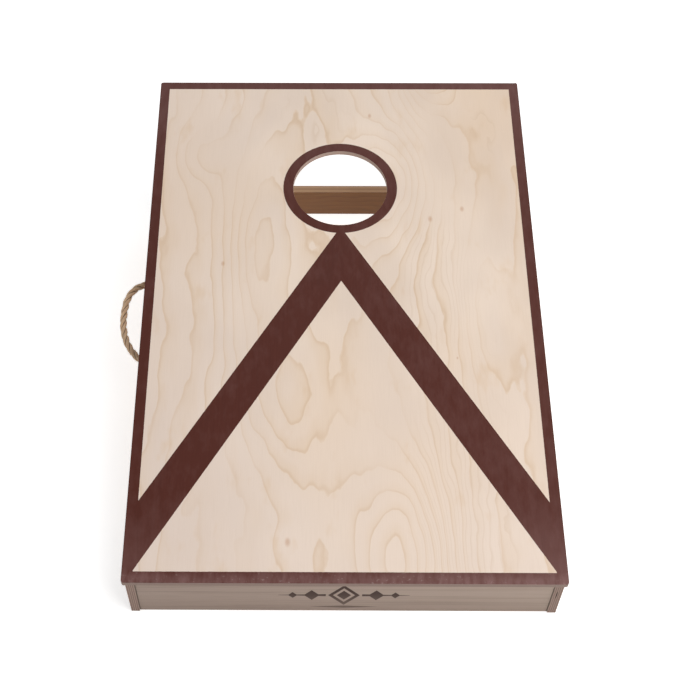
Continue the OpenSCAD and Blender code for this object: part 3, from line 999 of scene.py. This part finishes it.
# ---------------------------------------------------------------- hardware
zinc = steel_material("zinc_steel", (0.74, 0.75, 0.77, 1.0), 0.28)
screw_zinc = steel_material("screw_steel", (0.66, 0.62, 0.54, 1.0), 0.38)
nylon = nylon_material()


def dress(node, material):
    """Gives a CAD node that stays as it is a new material."""
    mesh = frame["nodes"][node].data
    mesh.materials.clear()
    mesh.materials.append(material)


BOLT_RADIUS = 0.004
BOLT_HEAD_RADIUS = 0.010
BOLT_HEAD_RIM = 0.0009
BOLT_SIDES = 40
DOME_STEPS = 12
THREAD_PITCH = 0.00125
THREAD_DEPTH = 0.00055
THREAD_LENGTH = 0.022
THREAD_STEPS = 8  # rows of points for each turn of the thread
RUN_OUT = 0.001  # the length over which the thread deepens to its full cut
POINT_LENGTH = 0.0012  # the bevelled tip
CLOSED = 0.0001  # the radius of the end rows


def bolt_rows(length, crown):
    """The bolt's outline, as its distance past the rail's face and its radius, from the head's top."""
    rows = [(-crown, CLOSED)]
    for step in range(1, DOME_STEPS + 1):
        turn = math.radians(90) * (1.0 - step / DOME_STEPS)
        rows.append((-BOLT_HEAD_RIM - (crown - BOLT_HEAD_RIM) * math.sin(turn),
                     BOLT_HEAD_RADIUS * math.cos(turn)))
    rows += [(-BOLT_HEAD_RIM * 0.4, BOLT_HEAD_RADIUS), (0.0, BOLT_HEAD_RADIUS - 0.0003),
             (0.0, BOLT_RADIUS)]
    plain = length - THREAD_LENGTH
    steps = round(THREAD_LENGTH / THREAD_PITCH * THREAD_STEPS)
    for step in range(steps + 1):
        rows.append((plain + THREAD_LENGTH * step / steps, BOLT_RADIUS))
    rows.append((length, CLOSED))
    return rows


def thread_radius(radius, into, length, share):
    """The radius at a place on the shank: into is past the rail's face, share how far round."""
    plain = length - THREAD_LENGTH
    if into <= plain or radius < BOLT_RADIUS:
        return radius
    phase = (into / THREAD_PITCH - share) % 1.0
    cut = THREAD_DEPTH * (1.0 - abs(2.0 * phase - 1.0)) * min(1.0, (into - plain) / RUN_OUT)
    taper = max(0.0, into - (length - POINT_LENGTH)) * 0.6
    return radius - max(cut, taper)


def pivot_bolt(node):
    """A domed bolt with a cut thread on its inner end, in the place of the plain CAD bolt."""
    low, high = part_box(node)
    middle = (low + high) / 2
    way = 1.0 if middle.x < 0.0 else -1.0
    head_top, tip = (low.x, high.x) if way > 0 else (high.x, low.x)
    face = -way * RAIL_OUT
    length = abs(tip - face)
    rows = bolt_rows(length, abs(face - head_top))
    points = []
    for into, radius in rows:
        for k in range(BOLT_SIDES):
            turn = math.tau * k / BOLT_SIDES
            size = thread_radius(radius, into, length, way * k / BOLT_SIDES)
            points.append((face + way * into,
                           middle.y + size * math.cos(turn), middle.z + size * math.sin(turn)))
    faces = []
    for i in range(len(rows) - 1):
        for k in range(BOLT_SIDES):
            a, b = i * BOLT_SIDES + k, i * BOLT_SIDES + (k + 1) % BOLT_SIDES
            quad = (a, b, b + BOLT_SIDES, a + BOLT_SIDES)
            faces.append(quad if way < 0 else quad[::-1])
    last = (len(rows) - 1) * BOLT_SIDES
    first_cap = tuple(range(BOLT_SIDES))
    last_cap = tuple(last + k for k in range(BOLT_SIDES))
    faces.append(first_cap[::-1] if way < 0 else first_cap)
    faces.append(last_cap if way < 0 else last_cap[::-1])
    mesh = bpy.data.meshes.new(f"{node}_threaded")
    mesh.from_pydata(points, [], faces)
    mesh.shade_smooth()
    mesh.set_sharp_from_angle(angle=math.radians(38))
    bolt = new_piece(f"{node}_threaded", mesh, body_of(node), zinc)
    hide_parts(node)


for node in frame["nodes"]:
    if "_screw_" in node:
        dress(node, screw_zinc)
    elif node.startswith("pivot_bolt"):
        pivot_bolt(node)
    elif node.startswith(("wing_nut", "nut_washer")):
        dress(node, zinc)
    elif node.startswith("leg_spacer"):
        dress(node, nylon)

# ---------------------------------------------------------------- floor
FLOOR_HALF = 60.0
FLOOR_GAP = 0.0003  # the floor lies this far under the board
floor_mesh = bpy.data.meshes.new("studio_floor")
floor_corners = [(x * FLOOR_HALF, y * FLOOR_HALF, 0.0) for x, y in ((-1, -1), (1, -1), (1, 1), (-1, 1))]
floor_mesh.from_pydata(floor_corners, [], [(0, 1, 2, 3)])
floor = bpy.data.objects.new("studio_floor", floor_mesh)
floor.location.z = -FLOOR_GAP
bpy.context.scene.collection.objects.link(floor)
floor_shader = Shader("studio_floor")
floor_shader.finish((0.90, 0.90, 0.90, 1.0), 0.9, Specular_IOR_Level=0.1,
                    Emission_Color=(1.0, 1.0, 1.0, 1.0), Emission_Strength=0.58)
floor_mesh.materials.append(floor_shader.material)
